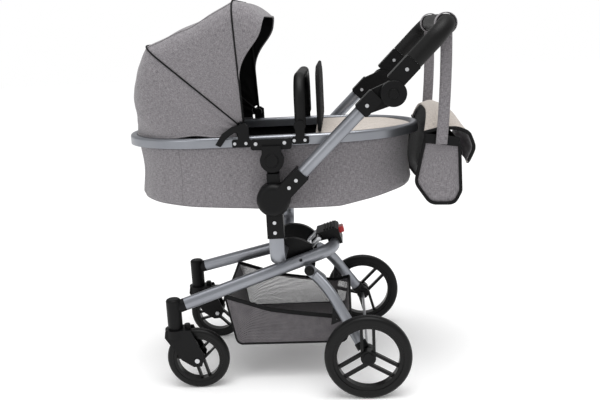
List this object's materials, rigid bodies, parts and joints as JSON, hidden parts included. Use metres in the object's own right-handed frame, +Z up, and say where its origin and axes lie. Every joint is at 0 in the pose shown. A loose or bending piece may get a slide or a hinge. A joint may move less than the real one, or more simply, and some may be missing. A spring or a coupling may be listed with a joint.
{
  "type": "doll stroller",
  "caption": "Doll pram on a folding tube frame: oval carrycot with hood and apron, bumper bar, tilting handle with hanging bag, under-basket, fixed rear wheels and swivel front wheels.",
  "frame": {"origin": "middle of the object's footprint, on the floor under the tyres", "axes": "+X from the hood end towards the handle, +Y to the right-hand side seen from the handle end's back, +Z up"},
  "size_m": [0.6461, 0.382, 0.7218],
  "materials": {
    "black_plastic": "moulded black plastic",
    "silver_tube": "silver powder coat on steel tube",
    "steel": "zinc-plated steel",
    "black_tyre": "black foam tyre with a smooth tread",
    "red_plastic": "glossy red plastic",
    "black_foam": "fine-celled black foam sleeve",
    "mesh_cloth": "dark grey mesh fabric",
    "grey_cloth": "grey melange polyester weave"
  },
  "bodies": {
    "main_frame": {"front_tube": "silver_tube", "swivel_housing_left": "black_plastic", "swivel_housing_right": "black_plastic", "post_left": "silver_tube", "post_right": "silver_tube", "side_bracket_left": "black_plastic", "side_bracket_right": "black_plastic", "lock_block": "black_plastic", "corner_joint_left": "black_plastic", "corner_joint_right": "black_plastic", "handle_tube_left": "silver_tube", "handle_tube_right": "silver_tube", "handle_clamp_left": "black_plastic", "handle_clamp_right": "black_plastic", "frame_screws": "steel", "basket": "mesh_cloth"},
    "fold_button": {"fold_button": "red_plastic"},
    "rear_legs": {"rear_leg_left": "silver_tube", "rear_leg_right": "silver_tube", "leg_fittings": "black_plastic", "lock_yoke": "steel", "rear_axle": "steel"},
    "rear_wheel_left": {"rear_tyre_left": "black_tyre", "rear_rim_left": "black_plastic", "rear_hub_cap_left": "black_plastic"},
    "rear_wheel_right": {"rear_tyre_right": "black_tyre", "rear_rim_right": "black_plastic", "rear_hub_cap_right": "black_plastic"},
    "fork_left": {"fork_left": "black_plastic", "fork_bolt_left": "steel"},
    "fork_right": {"fork_right": "black_plastic", "fork_bolt_right": "steel"},
    "front_wheel_left": {"front_tyre_left": "black_tyre", "front_rim_left": "black_plastic"},
    "front_wheel_right": {"front_tyre_right": "black_tyre", "front_rim_right": "black_plastic"},
    "handle": {"handle_sleeve_left": "black_plastic", "handle_sleeve_right": "black_plastic", "handle_bar": "steel", "handle_grip": "black_foam", "handle_screws": "steel"},
    "tilt_button_left": {"tilt_button_left": "black_plastic"},
    "tilt_button_right": {"tilt_button_right": "black_plastic"},
    "cot": {"cot_rim": "silver_tube", "cot_shell": "grey_cloth", "mattress": "grey_cloth", "cot_bracket_left": "black_plastic", "cot_bracket_right": "black_plastic", "rim_brackets": "black_plastic", "apron": "grey_cloth", "canopy": "grey_cloth", "cot_screws": "steel"},
    "recline_button_left": {"recline_button_left": "black_plastic"},
    "recline_button_right": {"recline_button_right": "black_plastic"},
    "canopy_front": {"canopy_front_bow": "steel"},
    "canopy_rear": {"canopy_rear_bow": "steel"},
    "bumper": {"bumper_bar": "black_foam"},
    "bag": {"bag_body": "grey_cloth", "bag_straps": "grey_cloth"},
    "bag_flap": {"bag_flap": "grey_cloth"}
  },
  "joints": [
    {"name": "fold_button_press", "type": "slide", "parent": "main_frame", "child": "fold_button", "axis": [-0.9599, 0, -0.2803], "range_m": [0, 0.004], "stiffness_N_per_m": 900, "springref_m": -0.001},
    {"name": "frame_fold", "type": "hinge", "parent": "main_frame", "child": "rear_legs", "pos_m": [0.016, 0, 0.218], "axis": [0, -1, 0], "range_deg": [0, 70]},
    {"name": "rear_wheel_left_spin", "type": "hinge", "parent": "rear_legs", "child": "rear_wheel_left", "pos_m": [0.12, -0.18, 0.08], "axis": [0, 1, 0], "continuous": true},
    {"name": "rear_wheel_right_spin", "type": "hinge", "parent": "rear_legs", "child": "rear_wheel_right", "pos_m": [0.12, 0.18, 0.08], "axis": [0, 1, 0], "continuous": true},
    {"name": "fork_left_swivel", "type": "hinge", "parent": "main_frame", "child": "fork_left", "pos_m": [-0.244, -0.121, 0.12], "axis": [0, 0, 1], "continuous": true},
    {"name": "front_wheel_left_spin", "type": "hinge", "parent": "fork_left", "child": "front_wheel_left", "pos_m": [-0.204, -0.121, 0.06], "axis": [0, 1, 0], "continuous": true},
    {"name": "fork_right_swivel", "type": "hinge", "parent": "main_frame", "child": "fork_right", "pos_m": [-0.244, 0.121, 0.12], "axis": [0, 0, 1], "continuous": true},
    {"name": "front_wheel_right_spin", "type": "hinge", "parent": "fork_right", "child": "front_wheel_right", "pos_m": [-0.204, 0.121, 0.06], "axis": [0, 1, 0], "continuous": true},
    {"name": "handle_tilt", "type": "hinge", "parent": "main_frame", "child": "handle", "pos_m": [0.1775, 0, 0.5528], "axis": [0, 1, 0], "range_deg": [0, 50]},
    {"name": "tilt_button_left_press", "type": "slide", "parent": "handle", "child": "tilt_button_left", "axis": [0, 1, 0], "range_m": [0, 0.0025], "stiffness_N_per_m": 600, "springref_m": -0.001},
    {"name": "tilt_button_right_press", "type": "slide", "parent": "handle", "child": "tilt_button_right", "axis": [0, -1, 0], "range_m": [0, 0.0025], "stiffness_N_per_m": 600, "springref_m": -0.001},
    {"name": "cot_recline", "type": "hinge", "parent": "main_frame", "child": "cot", "pos_m": [-0.037, 0, 0.444], "axis": [0, 1, 0], "range_deg": [-12, 5]},
    {"name": "recline_button_left_press", "type": "slide", "parent": "cot", "child": "recline_button_left", "axis": [0, 1, 0], "range_m": [0, 0.0025], "stiffness_N_per_m": 600, "springref_m": -0.001},
    {"name": "recline_button_right_press", "type": "slide", "parent": "cot", "child": "recline_button_right", "axis": [0, -1, 0], "range_m": [0, 0.0025], "stiffness_N_per_m": 600, "springref_m": -0.001},
    {"name": "hood_rear_bow", "type": "hinge", "parent": "cot", "child": "canopy_rear", "pos_m": [-0.086, 0, 0.5], "axis": [0, -1, 0], "range_deg": [0, 37]},
    {"name": "hood_front_bow", "type": "hinge", "parent": "canopy_rear", "child": "canopy_front", "pos_m": [-0.086, 0, 0.5], "axis": [0, -1, 0], "range_deg": [0, 34], "deforming": ["canopy"]},
    {"name": "bumper_swing", "type": "hinge", "parent": "cot", "child": "bumper", "pos_m": [0.014, 0, 0.501], "axis": [0, -1, 0], "range_deg": [0, 40]},
    {"name": "bag_swing", "type": "hinge", "parent": "handle", "child": "bag", "pos_m": [0.272, 0, 0.664], "axis": [0, 1, 0], "range_deg": [-50, 0]},
    {"name": "bag_flap_open", "type": "hinge", "parent": "bag", "child": "bag_flap", "pos_m": [0.243, 0, 0.513], "axis": [0, -1, 0], "range_deg": [0, 100]}
  ],
  "couplings": [
    {"joint": "bag_swing", "follows": "handle_tilt", "ratio": -1},
    {"joint": "hood_front_bow", "follows": "hood_rear_bow", "ratio": 0.9}
  ]
}
